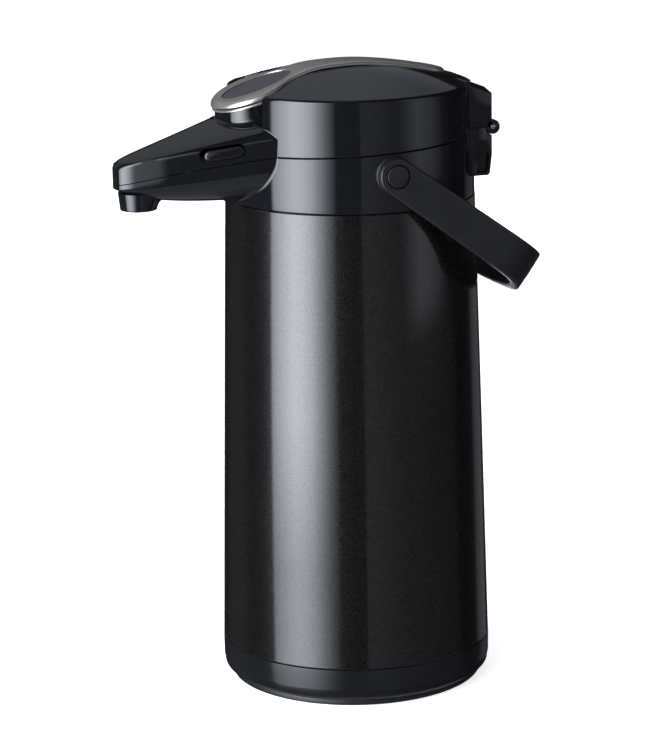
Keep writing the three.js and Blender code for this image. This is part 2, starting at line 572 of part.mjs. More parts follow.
function handle() {
  const { outer, thickness, boss, z } = HANDLE;
  const inner = outer - thickness;
  let bail = bailStrap();
  const rest = turned([[0, 290], [shellRadius(290) + GAP, 290], [shellRadius(335) + GAP, 335], [0, 335]]);
  for (const [side, label] of [[1, 'left'], [-1, 'right']]) {
    const across = (radius, x0, x1, facets = 24) =>
      rod(radius, Math.min(side * x0, side * x1), Math.max(side * x0, side * x1), 0, z, facets);
    const seat = outer - PIVOT.depth;
    bail = bail.add(across(boss, inner, outer)).subtract(across(PIVOT.counterbore, seat, outer + 1));
    bail = bail.subtract(across(PIVOT.stub + GAP, inner - 1, seat + 1));
    const mount = across(PIVOT.flange, 66, inner - GAP).add(across(PIVOT.stub, inner - 1, seat - GAP));
    add(`handle_boss_${label}`, mount.subtract(rest), FINISH.matteBlack);
    add(`handle_button_${label}`, across(PIVOT.button, seat + GAP - 0.1, outer + 0.3), FINISH.matteBlack);
  }
  add('handle_bail', bail, FINISH.matteBlack);
}

swivelFoot();
baseRing();
outerCasing();
vacuumFlask();
shoulderCollar();
lidShell();
lidUnderside();
latches();
lidHinge();
leverPlate();
leverArm();
leverSkirt();
pump();
pourPath();
handle();

export default airpot;
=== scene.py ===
"""Thermal coffee airpot: the visual pieces, their finishes, the camera and the studio.

Lengths are millimetres in the code and become metres when a mesh is made; only the floor and the lamp are
given in metres. +Z is up, the spout points along -Y, the lid hinge is at +Y and the handle's pivots lie on X.
"""
from math import atan, copysign, cos, exp, hypot, pi, radians, sin, sqrt, tan
from types import SimpleNamespace as Sizes

import bmesh
import bpy
from mathutils import Matrix, Vector


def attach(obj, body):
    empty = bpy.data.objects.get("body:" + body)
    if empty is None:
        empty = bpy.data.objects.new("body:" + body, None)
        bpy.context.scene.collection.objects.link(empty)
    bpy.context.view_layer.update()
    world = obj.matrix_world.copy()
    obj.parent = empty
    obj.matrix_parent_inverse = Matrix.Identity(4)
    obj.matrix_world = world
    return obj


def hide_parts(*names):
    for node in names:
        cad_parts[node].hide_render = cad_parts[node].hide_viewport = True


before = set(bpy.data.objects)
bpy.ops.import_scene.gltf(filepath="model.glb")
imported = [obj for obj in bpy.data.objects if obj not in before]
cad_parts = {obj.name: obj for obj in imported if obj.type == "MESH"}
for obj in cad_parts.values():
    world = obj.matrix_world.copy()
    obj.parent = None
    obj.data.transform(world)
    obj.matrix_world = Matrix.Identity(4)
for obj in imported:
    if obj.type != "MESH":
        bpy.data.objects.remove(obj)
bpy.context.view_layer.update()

# -------- driving dimensions, as on the CAD model
MM = 0.001
ROUND = 144                      # facets round a turned piece
FINE = 192                       # facets round the casing, the drum and the lid
SIDES = ((1, "left"), (-1, "right"))
CASING = Sizes(bottom=23.6, top=289.6, low=80.0, high=72.9)
TAPER = (CASING.low - CASING.high) / (CASING.top - CASING.bottom)
SEAM = Sizes(height=323.4, slope=0.045)
LID = Sizes(rim=353.2, corner=3.0, apex=365.5, dome=218.0, wall=2.4)
BEAK = Sizes(tip=15.0, tip_y=-127.0, front=-142.0, flare=0.4, root_y=-58.0, wall=2.2, fillet=3.2, gap=0.25)
ROOF = Sizes(y=-87.0, crown=336.65, slope=0.355, edge=331.2)
NOZZLE = Sizes(y=-127.8, mouth=10.6, top=11.7, bore=8.2, low=289.2, high=299.5)
LEVER = Sizes(pad_y=-57.6, pad_long=24.6, pad_wide=27.0, strap=11.6, end=58.8, slot=0.8,
              slot_end=62.5, front=-44.0)
PIVOT = Sizes(y=63.5, z=349.0, radius=3.9, half=10.0)
SKIRT = Sizes(y=-59.6, long=20.5, wide=23.2, inner=0.93)
INLAY = Sizes(y=-56.2, long=20.1, wide=15.8)
HINGE = Sizes(y=73.3, z=329.2, knuckle=4.2, pin=1.4, width=41.5, edge=72.4, rear=77.2, bottom=301.3,
              chamfer=4.0, inner=15.0, middle=28.0)
HANDLE = Sizes(z=311.7, angle=36.3, outer=80.5, thick=5.8, boss=10.4, end=11.4, straight=79.0, corner=30.0,
               bow=18.0, grip=3.0)
LATCH = Sizes(y=-85.8, z=322.8, long=23.0, tall=5.2, rise=0.155, proud=1.5)
CAMERA = Sizes(azimuth=70.22, distance=1732.5, height=609.8, pitch=13.94, roll=-0.82, lens=144.8,
               shift=-0.0367)

FLOOR = 14                       # half-width of the floor in metres
LAMP = Sizes(power=14, size=1.6, place=(2.2, -2.0, 2.4), aim=(0, 0, 0.25))
WORLD = Sizes(seen=1.0, lit=0.35, reflected=0.012)
LIGHT_TINT = (0.96, 1.0, 1.10)   # a slightly cool studio light


# -------- mesh making
def rounded(corners, steps=5, closed=True):
    """An outline from (a, b, radius) corners, with each corner turned into an arc."""
    outline = []
    for i, (a, b, radius) in enumerate(corners):
        at_end = not closed and i in (0, len(corners) - 1)
        if radius == 0 or at_end:
            outline.append((a, b))
            continue
        here = Vector((a, b))
        back = Vector(corners[i - 1][:2]) - here
        ahead = Vector(corners[(i + 1) % len(corners)][:2]) - here
        half = back.angle(ahead) / 2
        reach = min(radius / tan(half), 0.49 * back.length, 0.49 * ahead.length)
        centre = here + (back.normalized() + ahead.normalized()).normalized() * (reach / cos(half))
        first = here + back.normalized() * reach - centre
        last = here + ahead.normalized() * reach - centre
        turn = first.angle(last)
        for k in range(steps + 1):
            part = k / steps
            arm = (first * sin((1 - part) * turn) + last * sin(part * turn)) / sin(turn)
            outline.append(tuple(centre + arm))
    return outline


def grid_faces(rows, columns, wrap_rows=False, wrap_columns=False, start=0):
    """Faces of a grid of points that lie row by row."""
    faces = []
    for r in range(rows if wrap_rows else rows - 1):
        here, ahead = start + r * columns, start + (r + 1) % rows * columns
        for c in range(columns if wrap_columns else columns - 1):
            beside = (c + 1) % columns
            faces.append((here + c, here + beside, ahead + beside, ahead + c))
    return faces


def ladder(left, right):
    """Faces between two runs of points. Where both runs use the same point the face has fewer corners."""
    faces = []
    for i in range(len(left) - 1):
        corners = (left[i], left[i + 1], right[i + 1], right[i])
        faces.append(tuple(dict.fromkeys(corners)))
    return faces


def loop_cap(count, start=0):
    """Closes a loop that is the same on both sides of the middle line; an odd loop starts on that line."""
    odd = count % 2
    half = range((count + odd) // 2)
    return ladder([start + i for i in half], [start + (count - 1 + odd - i) % count for i in half])


def build(name, points, faces, weld=0.002):
    """A mesh object in metres, with doubled points joined and its faces turned outwards."""
    mesh = bpy.data.meshes.new(name)
    mesh.from_pydata([Vector(p) * MM for p in points], [], faces)
    work = bmesh.new()
    work.from_mesh(mesh)
    bmesh.ops.remove_doubles(work, verts=work.verts, dist=weld * MM)
    bmesh.ops.recalc_face_normals(work, faces=work.faces)
    work.to_mesh(mesh)
    work.free()
    return put(name, mesh)


def put(name, data):
    """A new object in the scene for a mesh, a camera or a lamp."""
    obj = bpy.data.objects.new(name, data)
    bpy.context.scene.collection.objects.link(obj)
    return obj


def finish_piece(obj, body, material, slot, *nodes, sharp=38):
    """Shades a piece, gives it its finish, and ties it to the CAD model."""
    obj.data.materials.clear()
    obj.data.materials.append(material)
    for polygon in obj.data.polygons:
        polygon.use_smooth = True
        polygon.material_index = 0
    obj.data.set_sharp_from_angle(angle=radians(sharp))
    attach(obj, body)
    if nodes:
        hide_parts(*nodes)


def apply_modifiers(obj):
    depsgraph = bpy.context.evaluated_depsgraph_get()
    fresh = bpy.data.meshes.new_from_object(obj.evaluated_get(depsgraph))
    obj.modifiers.clear()
    obj.data = fresh


def combine(obj, other, operation="DIFFERENCE"):
    """Boolean of two closed pieces; the other piece is used up."""
    modifier = obj.modifiers.new("cut", "BOOLEAN")
    modifier.operation = operation
    modifier.solver = "EXACT"
    modifier.object = other
    apply_modifiers(obj)
    bpy.data.objects.remove(other)
    return obj


def soften(obj, width, segments=2, angle=35):
    """Rounds the sharp edges of a piece."""
    modifier = obj.modifiers.new("soft edge", "BEVEL")
    modifier.width = width * MM
    modifier.segments = segments
    modifier.limit_method = "ANGLE"
    modifier.angle_limit = radians(angle)
    apply_modifiers(obj)
    return obj


def revolve(name, outline, segments, place):
    """A closed outline turned about an axis; place(radius, along, angle) gives each point."""
    turn = [2 * pi * i / segments for i in range(segments)]
    solid = outline[0][0] == 0 and outline[-1][0] == 0
    points = [place(radius, along, angle) for angle in turn for radius, along in outline]
    return build(name, points, grid_faces(segments, len(outline), wrap_rows=True, wrap_columns=not solid))


def turned(name, outline, segments=ROUND, height=None):
    """A (radius, z) outline turned about Z. height(z, y) may move points on to a tilted seam."""
    def place(radius, z, angle):
        x, y = radius * sin(angle), -radius * cos(angle)
        return (x, y, height(z, y) if height else z)
    return revolve(name, outline, segments, place)


def along_x(name, outline, y, z, segments=48):
    """A (radius, x) outline turned about an axis that lies along X."""
    def place(radius, x, angle):
        return (x, y + radius * cos(angle), z + radius * sin(angle))
    return revolve(name, outline, segments, place)


def rod(name, radius, x0, x1, y, z, edge=0.3, segments=48):
    corners = [(0, x0, 0), (radius, x0, edge), (radius, x1, edge), (0, x1, 0)]
    return along_x(name, rounded(corners, 3), y, z, segments)


def loft(name, rings, split=False):
    """A solid through rings with as many points each. A bent end is split into strips across the middle."""
    count = len(rings[0])
    last = (len(rings) - 1) * count
    faces = grid_faces(len(rings), count, wrap_columns=True)
    if split:
        faces += loop_cap(count) + loop_cap(count, last)
    else:
        faces += [tuple(range(count)), tuple(range(last, last + count))]
    return build(name, [p for ring in rings for p in ring], faces)


def prism(name, outline, low, high):
    """A plan outline of (x, y) raised from one height to another."""
    return loft(name, [[(x, y, z) for x, y in outline] for z in (low, high)])


def along_y(name, outline, y0, y1, fall):
    """An outline of (x, z) points carried from y0 to y1, where it lies lower by fall."""
    return loft(name, [[(x, y0, z) for x, z in outline], [(x, y1, z - fall) for x, z in outline]])


def across(name, outline, x0, x1):
    """A side outline of (y, z) carried from x0 to x1."""
    return loft(name, [[(x, y, z) for y, z in outline] for x in (x0, x1)])


def spread(first, last, count):
    return [first + (last - first) * i / (count - 1) for i in range(count)]


def both_sides(near, far):
    """The same stretch of X on both sides of the middle, as (label, low, high)."""
    return ("right", -far, -near), ("left", near, far)


def mirrored(side):
    """A closed plan outline from its +X side, which starts on the middle line."""
    return side + [(-x, y) for x, y in reversed(side[1:])]


def set_inputs(node, **values):
    """Sets a node's inputs by name; an underscore stands for a space."""
    for key, value in values.items():
        node.inputs[key.replace("_", " ")].default_value = value
    return node


def fill_ramp(ramp, stops):
    """Gives a colour ramp its (position, colour) stops."""
    elements = ramp.color_ramp.elements
    while len(elements) > 1:
        elements.remove(elements[-1])
    for i, (position, colour) in enumerate(stops):
        element = elements[0] if i == 0 else elements.new(position)
        element.position = position
        element.color = (*colour, 1)


def smooth_through(knots, at):
    """Height of a smooth curve through (position, height) knots."""
    last = len(knots) - 1
    i = max(0, min(last - 1, sum(1 for k in knots[1:] if k[0] <= at)))

    def slope(j):
        low, high = max(0, j - 1), min(last, j + 1)
        return (knots[high][1] - knots[low][1]) / (knots[high][0] - knots[low][0])

    (x0, z0), (x1, z1) = knots[i], knots[i + 1]
    span = x1 - x0
    t = (at - x0) / span
    a, b = slope(i) * span, slope(i + 1) * span
    return ((2 * t**3 - 3 * t**2 + 1) * z0 + (t**3 - 2 * t**2 + t) * a
            + (3 * t**2 - 2 * t**3) * z1 + (t**3 - t**2) * b)


# -------- finishes
class Finish:
    """A principled material with a few short helpers for its node tree."""

    def __init__(self, name, colour, roughness, metallic=0.0, coat=0.0):
        self.material = bpy.data.materials.new(name)
        self.material.use_nodes = True
        self.nodes = self.material.node_tree.nodes
        self.links = self.material.node_tree.links
        self.shader = self.nodes["Principled BSDF"]
        set_inputs(self.shader, Base_Color=(*colour, 1), Roughness=roughness, Metallic=metallic,
                   Coat_Weight=coat)
        self.place = self.add("ShaderNodeTexCoord").outputs["Object"]

    def add(self, kind, **values):
        return set_inputs(self.nodes.new(kind), **values)

    def noise(self, scale, detail=3.0, stretch=None):
        """Noise in object space; scale is in features per metre."""
        node = self.add("ShaderNodeTexNoise", Scale=scale, Detail=detail)
        place = self.place
        if stretch:
            mapping = self.add("ShaderNodeMapping", Scale=stretch)
            self.links.new(place, mapping.inputs["Vector"])
            place = mapping.outputs["Vector"]
        self.links.new(place, node.inputs["Vector"])
        return node.outputs["Fac"]

    def shine(self, value, low, high):
        """Spreads the roughness between two levels."""
        node = self.add("ShaderNodeMapRange", From_Min=0.3, From_Max=0.7, To_Min=low, To_Max=high)
        self.links.new(value, node.inputs["Value"])
        self.links.new(node.outputs["Result"], self.shader.inputs["Roughness"])

    def tint(self, value, dark, light):
        ramp = self.add("ShaderNodeValToRGB")
        fill_ramp(ramp, ((0.3, dark), (0.7, light)))
        self.links.new(value, ramp.inputs["Fac"])
        self.links.new(ramp.outputs["Color"], self.shader.inputs["Base Color"])

    def relief(self, value, height, socket="Normal"):
        """Bump of a height in millimetres."""
        bump = self.add("ShaderNodeBump", Strength=1.0, Distance=height * MM)
        self.links.new(value, bump.inputs["Height"])
        self.links.new(bump.outputs["Normal"], self.shader.inputs[socket])


def shaded(name, colour, roughness, metallic=0.0, tint=None, shine=None, bump=None, soft=None):
    """A finish with noise in its colour, its roughness and its surface.

    tint is (noise, dark, light), shine is (noise, least, most) and bump is (noise, height), where a noise is
    (scale, detail) or (scale, detail, stretch). soft is (weight, depth) of the light that goes in.
    """
    f = Finish(name, colour, roughness, metallic)
    if tint:
        f.tint(f.noise(*tint[0]), tint[1], tint[2])
    if shine:
        f.shine(f.noise(*shine[0]), shine[1], shine[2])
    if soft:
        set_inputs(f.shader, Subsurface_Weight=soft[0], Subsurface_Radius=(soft[1],) * 3)
    if bump:
        f.relief(f.noise(*bump[0]), bump[1])
    return f.material


def flake_paint():
    """Dark metallic paint: fine bright flakes under a clear coat."""
    f = Finish("charcoal flake paint", (0.01, 0.01, 0.01), 0.34, metallic=0.7, coat=1.0)
    flakes = f.add("ShaderNodeTexVoronoi", Scale=2600)
    f.links.new(f.place, flakes.inputs["Vector"])
    shade = f.add("ShaderNodeSeparateColor")
    f.links.new(flakes.outputs["Color"], shade.inputs["Color"])
    f.tint(shade.outputs["Red"], (0.0026, 0.0025, 0.0024), (0.0155, 0.0148, 0.0141))
    f.shine(shade.outputs["Green"], 0.21, 0.30)
    f.relief(shade.outputs["Blue"], 0.007)
    set_inputs(f.shader, Coat_Roughness=0.07, Coat_IOR=1.46)
    f.relief(f.noise(240, 2), 0.010, "Coat Normal")
    return f.material


def satin_black(name, colour, low, high, grain=0.012):
    """Black moulding with a fine spark-eroded grain."""
    return shaded(name, colour, (low + high) / 2, shine=((90, 4), low, high), bump=((2200, 2), grain))


def shader_of(material):
    return material.node_tree.nodes["Principled BSDF"]


GLOSS = shaded("gloss black moulding", (0.0035, 0.0037, 0.0046), 0.08,
               shine=((60, 4), 0.06, 0.10), bump=((35, 1), 0.012))
PAINT = flake_paint()
SATIN = satin_black("satin black moulding", (0.0036, 0.0038, 0.0047), 0.38, 0.50)
BASE_BLACK = satin_black("base black moulding", (0.005, 0.0052, 0.006), 0.13, 0.2, grain=0.003)
set_inputs(shader_of(BASE_BLACK), Specular_IOR_Level=0.25)
INNER = satin_black("inner moulding", (0.05, 0.05, 0.053), 0.36, 0.5)
SILVER = shaded("satin silver", (0.36, 0.345, 0.33), 0.31, metallic=0.85,
                tint=((70, 3), (0.34, 0.325, 0.30), (0.41, 0.39, 0.36)),
                shine=((1800, 2, (1, 0.15, 1)), 0.285, 0.345), bump=((1500, 2), 0.002))
INLAY_GREY = shaded("inlay grey", (0.033, 0.034, 0.038), 0.42,
                    tint=((200, 3), (0.029, 0.030, 0.035), (0.036, 0.037, 0.042)), bump=((2600, 2), 0.008))
STEEL = shaded("stainless steel", (0.62, 0.61, 0.60), 0.25, metallic=1.0,
               shine=((900, 3, (1, 1, 0.08)), 0.18, 0.34), bump=((1400, 2, (1, 1, 0.08)), 0.004))
RUBBER = shaded("black rubber", (0.018, 0.018, 0.018), 0.8,
                shine=((300, 4), 0.7, 0.9), bump=((1500, 3), 0.02))
SILICONE = shaded("white silicone", (0.62, 0.62, 0.60), 0.5, soft=(0.1, 0.004),
                  tint=((40, 3), (0.58, 0.58, 0.56), (0.66, 0.66, 0.64)), bump=((900, 2), 0.01))
NATURAL = shaded("natural plastic", (0.70, 0.70, 0.67), 0.35, soft=(0.2, 0.003),
                 tint=((30, 3), (0.66, 0.66, 0.63), (0.74, 0.74, 0.71)), bump=((700, 2), 0.01))


# -------- shapes shared by several pieces
def shell_radius(z):
    return CASING.low - (z - CASING.bottom) * TAPER


def seam_z(y):
    """Height of the parting line between the lid and the collar."""
    run = max(0.0, BEAK.root_y - y)
    plane = SEAM.height + SEAM.slope * max(y, BEAK.root_y)
    return plane - 0.14 * run - 0.0006 * run * run


def dome_z(radius, inset=0.0):
    size = LID.dome
    return LID.apex - inset - (size - sqrt(size * size - radius * radius))


def lever_half(y):
    """Half-width of the lever: an oval pad that narrows into a strap."""
    t = (y - LEVER.pad_y) / LEVER.pad_long
    oval = LEVER.pad_wide * sqrt(max(0.0, 1 - t * t))
    if y < LEVER.pad_y:
        return oval
    run = y - LEVER.pad_y
    spare = LEVER.pad_wide - LEVER.strap
    return LEVER.strap + spare * (0.74 * exp(-(run / 14.5) ** 2) + 0.26 * exp(-(run / 33) ** 2))


def lever_top(y):
    knots = [(-84, 347.3), (-60, 355.3), (-42, 361.4), (-26, 366.0), (-6, 367.6), (10, 367.2), (30, 364.8),
             (50, 361.2), (64, 358.4)]
    return smooth_through(knots, y)


def lever_side(end, count=26):
    """Plan points down the +X side of the lever, from the middle of its tip to a rear end."""
    tip = [LEVER.pad_y - LEVER.pad_long * cos(radians(a)) for a in spread(0, 84, 13)]
    rest = spread(LEVER.pad_y, end, count)
    return [(lever_half(y), y) for y in tip + rest]


def lid_slot_loop():
    """Plan outline of the opening in the lid's drum and dome; it is wider round the pad."""
    side = []
    for x, y in lever_side(LEVER.slot_end):
        wide = max(0.0, min(1.0, (-20 - y) / 34))
        side.append((x + LEVER.slot + 4.8 * wide * wide * (3 - 2 * wide), y - 4 * (y < LEVER.pad_y)))
    side[0] = (0, side[0][1])
    return mirrored(side)


def lever_loop(end, margin=0.0):
    """Closed plan outline of the lever, moved outwards by a margin."""
    loop = mirrored(lever_side(end))
    return offset_loop(loop, margin) if margin else loop


def tongue_loop():
    """Closed plan outline of the silver plate, with its round rear end."""
    radius, end = LEVER.strap, LEVER.end
    turn = [radians(a) for a in spread(8, 80, 10)]
    arc = [(radius * cos(a), end - radius + radius * sin(a)) for a in turn]
    return mirrored(lever_side(end - radius) + arc + [(0.8, end)])


def offset_loop(loop, margin):
    moved = []
    count = len(loop)
    for i, (x, y) in enumerate(loop):
        before, after = loop[i - 1], loop[(i + 1) % count]
        tangent = Vector((after[0] - before[0], after[1] - before[1])).normalized()
        moved.append((x + tangent.y * margin, y - tangent.x * margin))
    return moved


# -------- foot, base and casing
def make_foot():
    corners = [(0, 0.4, 0), (58, 0.4, 0.3), (59.5, 0, 0.4), (59.7, 1.8, 0.3), (66.3, 1.8, 0.3),
               (66.5, 0, 0.3), (74.6, 0, 0.9), (74.8, 3.7, 0.6), (69, 3.7, 0.3), (69, 5.6, 0.4), (0, 5.6, 0)]
    foot = turned("foot_plate", rounded(corners, 3))
    finish_piece(foot, "swivel_base", SATIN, "matte_black", "swivel_foot")


def make_base():
    corners = [(9.4, 5.9, 0), (69.6, 5.9, 0.4), (69.7, 4.1, 0.5), (76.6, 4.1, 2.2), (79.1, 6.2, 2.5),
               (79.75, 11, 3), (79.8, 23.3, 0.7), (78.3, 23.3, 0.2), (78.3, 30, 0.5), (75.8, 30, 0.5),
               (75.8, 9, 1), (9.4, 9, 0)]
    base = turned("base_moulding", rounded(corners, 5))
    finish_piece(base, "pot", BASE_BLACK, "matte_black", "base_ring")


def make_casing():
    low, high = CASING.bottom + 0.1, CASING.top
    corners = [(shell_radius(low) - 1.2, low, 0.2), (shell_radius(low), low, 0.8),
               (shell_radius(high), high, 0.8), (shell_radius(high) - 1.2, high, 0.2)]
    casing = turned("casing_sleeve", rounded(corners, 4), segments=FINE)
    finish_piece(casing, "pot", PAINT, "casing", "outer_casing")


# -------- shoulder collar
def on_seam(gap):
    """Carries points near the top of a profile on to the tilted seam."""
    def height(z, y):
        if abs(z - SEAM.height) > 2.5:
            return z
        return seam_z(max(y, -72.3)) + (z - SEAM.height) - gap
    return height


def make_collar():
    low, seam = 290.0, SEAM.height
    outer, wall = shell_radius(low), 2.4
    corners = [(34.5, 301, 0.4), (68.7, 301, 2), (68.7, 283, 0.3), (71.1, 283, 0.4), (71.1, low, 0.1),
               (outer, low, 0.7), (shell_radius(seam), seam, 0.7), (shell_radius(seam) - wall, seam, 0.4),
               (shell_radius(304) - wall, 303.5, 2), (34.5, 303.5, 0.6)]
    collar = turned("shoulder_drum", rounded(corners, 4), segments=FINE, height=on_seam(0.2))
    finish_piece(collar, "pot", GLOSS, "gloss_black", "shoulder_collar")


# -------- beak
def crown_z(y):
    """Height of the middle of the beak's roof."""
    return ROOF.crown + ROOF.slope * (y - ROOF.y)


def band_z(y):
    """Height of the edge between the beak's roof and its side band."""
    run = BEAK.root_y - y
    return ROOF.edge - 0.15 * run - 0.0003 * run * run


def beak_half(y, inset=0.0):
    """Half-width of the beak in plan: straight flanks that curve into a blunt nose."""
    run = y - BEAK.front - inset
    if run <= 0:
        return 0.0
    if run >= 24:
        return BEAK.tip + BEAK.flare * (y - BEAK.tip_y) - inset
    if run >= 8:
        return (11.3 + 0.455 * (run - 8)) * (1 - inset / 17)
    return (150 * run + 3.8 * run * run) ** (1 / 3) * (1 - inset / 17)


def nose_part(x, y):
    """How far out towards the nose's outline a plan point lies, from 0 to 1."""
    low, high = 0.0001, 1.0
    nose = BEAK.tip_y - y
    for _ in range(24):
        part = (low + high) / 2
        if beak_half(BEAK.tip_y - nose / part) >= abs(x) / part:
            high = part
        else:
            low = part
    return high


def roof_z(x, y, inset=0.0):
    """Height of the beak's roof over a plan point."""
    nose = max(0.0, BEAK.tip_y - y)
    at = max(y, BEAK.tip_y)
    fall = crown_z(at) - band_z(at)
    t = min(1.0, abs(x) / beak_half(at, 0.0))
    rim = nose_part(x, y) if nose > 0 else t
    drop = 0.78 * fall * t**1.56 + 0.22 * fall * rim**10
    front = (nose / BEAK.tip) ** 2
    return crown_z(y) - drop - 2.6 * front * rim**10 - inset


def beak_upper(t, y, inset):
    """A point of the upper shell: t runs from one seam (-2) over the roof (-1..1) to the other (2)."""
    half = beak_half(y, inset)
    side = max(-1.0, min(1.0, t))
    x = half * side
    z = roof_z(x, y, inset)
    if abs(t) > 1:
        foot = seam_z(y) + BEAK.gap
        z = z + (foot - z) * (abs(t) - 1)
    return Vector((x, y, z))


def beak_lower(t, y, inset):
    """A point of the lower shell: t runs from one seam (-2) under the keel to the other (2)."""
    half = beak_half(y, inset)
    top = seam_z(y) - BEAK.gap
    rise = max(0.0, -76 - y) / 64
    keel = 290.8 + 2.6 * rise + 6 * rise**3 + inset
    lip = 0.6 + 1.5 * max(0.0, min(1.0, (-100 - y) / 30))
    if abs(t) > 1:
        return Vector((copysign(half, t), y, top - lip * (2 - abs(t))))
    angle = (1 - t) * pi / 2
    nose = min(1.0, max(0.0, BEAK.tip_y - y) / (BEAK.tip - inset))
    depth = (top - lip - keel) * sqrt(1 - nose * nose)
    return Vector((half * cos(angle), y, (top - lip) - depth * max(0.0, sin(angle))))


def outward(section, t, y, inset):
    """Unit normal of a beak surface, pointing away from its inside."""
    e = 0.01
    along = section(t, y + e, inset) - section(t, y - e, inset)
    round_ = section(min(2, t + e), y, inset) - section(max(-2, t - e), y, inset)
    normal = along.cross(round_).normalized()
    here = section(t, y, inset)
    inside = Vector((0, y, 318 if section is beak_upper else 312))
    return normal if normal.dot(here - inside) > 0 else -normal


def drum_gap(section, t, y, inset, ball):
    """How far a ball that rolls on the beak's outside is from touching the drum."""
    centre = section(t, y, inset)
    if ball:
        centre = centre + outward(section, t, y, inset) * ball
    return hypot(centre.x, centre.y) - shell_radius(centre.z) - ball


def meet_drum(section, t, inset, ball=0.0):
    low, high = -92.0, -25.0
    for _ in range(28):
        middle = (low + high) / 2
        if drum_gap(section, t, middle, inset, ball) > 0:
            low = middle
        else:
            high = middle
    return (low + high) / 2


def beak_rows(section, stops, inset, sink):
    """Rows of points from the nose to the drum, ending in a fillet and a lip sunk in the drum's wall."""
    length = BEAK.tip_y - BEAK.front - inset
    nose = [BEAK.tip_y - length * cos(radians(a)) for a in spread(3, 84, 14)]
    rows = [[section(t, y, inset) for t in stops] for y in nose]
    ball = 0.0 if inset else BEAK.fillet if section is beak_lower else 0.3 * BEAK.fillet
    ends = [meet_drum(section, t, inset, ball) for t in stops]
    for part in spread(0, 1, 22):
        reach = [BEAK.tip_y + (end - BEAK.tip_y) * part for end in ends]
        rows.append([section(t, y, inset) for t, y in zip(stops, reach)])
    free = rows[-1]
    if ball:
        centres = [section(t, end, 0) + outward(section, t, end, 0) * ball for t, end in zip(stops, ends)]
        for part in spread(0, 1, 7)[1:]:
            row = []
            for centre, start in zip(centres, free):
                inward = Vector((-centre.x, -centre.y, 0)).normalized()
                arm = (start - centre).normalized().slerp(inward, part)
                row.append(centre + arm * ball)
            rows.append(row)
    last = rows[-1]
    rows.append([p + Vector((-p.x, -p.y, 0)).normalized() * sink for p in last])
    return rows


def beak_shell(name, section):
    """A closed shell: an outer and an inner skin joined along the seam edge."""
    stops = [-2, -1.85, -1.5, -1.15] + spread(-1, 1, 37) + [1.15, 1.5, 1.85, 2]
    outer = beak_rows(section, stops, 0.0, 1.0)
    inner = beak_rows(section, stops, BEAK.wall, 0.5)
    columns = len(stops)
    points = [p for row in outer + inner for p in row]
    base = len(outer) * columns
    last, inner_last = base - columns, base + (len(inner) - 1) * columns
    faces = grid_faces(len(outer), columns) + grid_faces(len(inner), columns, start=base)
    faces += ladder(range(last, last + columns), range(inner_last, inner_last + columns))
    for edge in (0, columns - 1):
        rows = range(len(outer))
        faces += ladder([r * columns + edge for r in rows],
                        [base + min(r, len(inner) - 1) * columns + edge for r in rows])
    for start in (0, base):
        half = range(columns // 2 + 1)
        faces += ladder([start + c for c in half], [start + columns - 1 - c for c in half])
    faces.append((0, base, base + columns - 1, columns - 1))
    return build(name, points, faces)


def nozzle_ring(z, grow):
    """Plan ring of the nozzle at a height; it is drawn out towards the pot as it meets the beak."""
    rise = max(0.0, (z - NOZZLE.low) / (NOZZLE.high - NOZZLE.low))
    radius = NOZZLE.mouth + (NOZZLE.top - NOZZLE.mouth) * rise + grow
    tail = min(12.0, 0.16 * (exp(max(0.0, z - NOZZLE.low) / 1.8) - 1))
    ring = []
    for k in range(72):
        angle = 2 * pi * k / 72
        back = max(0.0, sin(angle))
        y = NOZZLE.y + radius * sin(angle) + tail * back**1.5
        ring.append(Vector((radius * cos(angle), y, z)))
    return ring


def make_nozzle():
    low, high = NOZZLE.low, NOZZLE.high
    rings = [nozzle_ring(low + 5, NOZZLE.bore - NOZZLE.mouth - 0.4), nozzle_ring(low + 0.5, -2.4),
             nozzle_ring(low, -1.8), nozzle_ring(low, -0.7), nozzle_ring(low + 0.25, -0.15)]
    rings += [nozzle_ring(z, 0.0) for z in spread(low + 0.7, high, 12)]
    nozzle = loft("beak_nozzle", [nozzle_ring(low + 5, -6.0)] + rings)
    finish_piece(nozzle, "pot", GLOSS, "gloss_black", "shoulder_collar")


def make_beak_lower():
    shell = beak_shell("beak_lower_shell", beak_lower)
    finish_piece(shell, "pot", GLOSS, "gloss_black", "shoulder_collar", sharp=50)


def make_beak_upper():
    shell = beak_shell("beak_upper_shell", beak_upper)
    combine(shell, prism("slot", lever_loop(LEVER.slot_end, LEVER.slot), 326, 380))
    for side in (-1, 1):
        long, tall = LATCH.long + 3.2, LATCH.tall + 2.4
        window = latch_box("window", side, -4.5, 6, long, tall, shift=(-1.1, 0.9))
        combine(shell, window)
    finish_piece(shell, "lid", GLOSS, "gloss_black", "lid_shell", sharp=50)


# -------- lid
def lid_profile(inset, floor):
    """Half section of the lid's drum and dome, from the foot of the wall up and over to the middle."""
    radius = shell_radius(LID.rim) - inset
    corner = LID.corner - min(inset, 1.5)
    top = dome_z(radius - corner, inset)
    side = [(shell_radius(floor) - inset, floor, 0.7 if inset == 0 else 0.3), (radius, top - 0.6, corner),
            (radius - 2 * corner, dome_z(radius - 2 * corner, inset), 0)]
    wall = rounded([(shell_radius(floor) - inset - 1, floor, 0)] + side, 6, closed=False)[1:]
    dome = [(r, dome_z(r, inset)) for r in spread(radius - 2 * corner - 1.5, 0, 26)]
    return wall + dome


def make_lid():
    floor = SEAM.height
    outer = lid_profile(0.0, floor)
    inner = lid_profile(LID.wall, floor)
    lid = turned("lid_drum", outer + inner[::-1], segments=FINE, height=on_seam(-0.2))
    combine(lid, prism("slot", lid_slot_loop(), 316, 380))
    combine(lid, tail_room())
    finish_piece(lid, "lid", GLOSS, "gloss_black", "lid_shell")
    smooth_dome(lid)


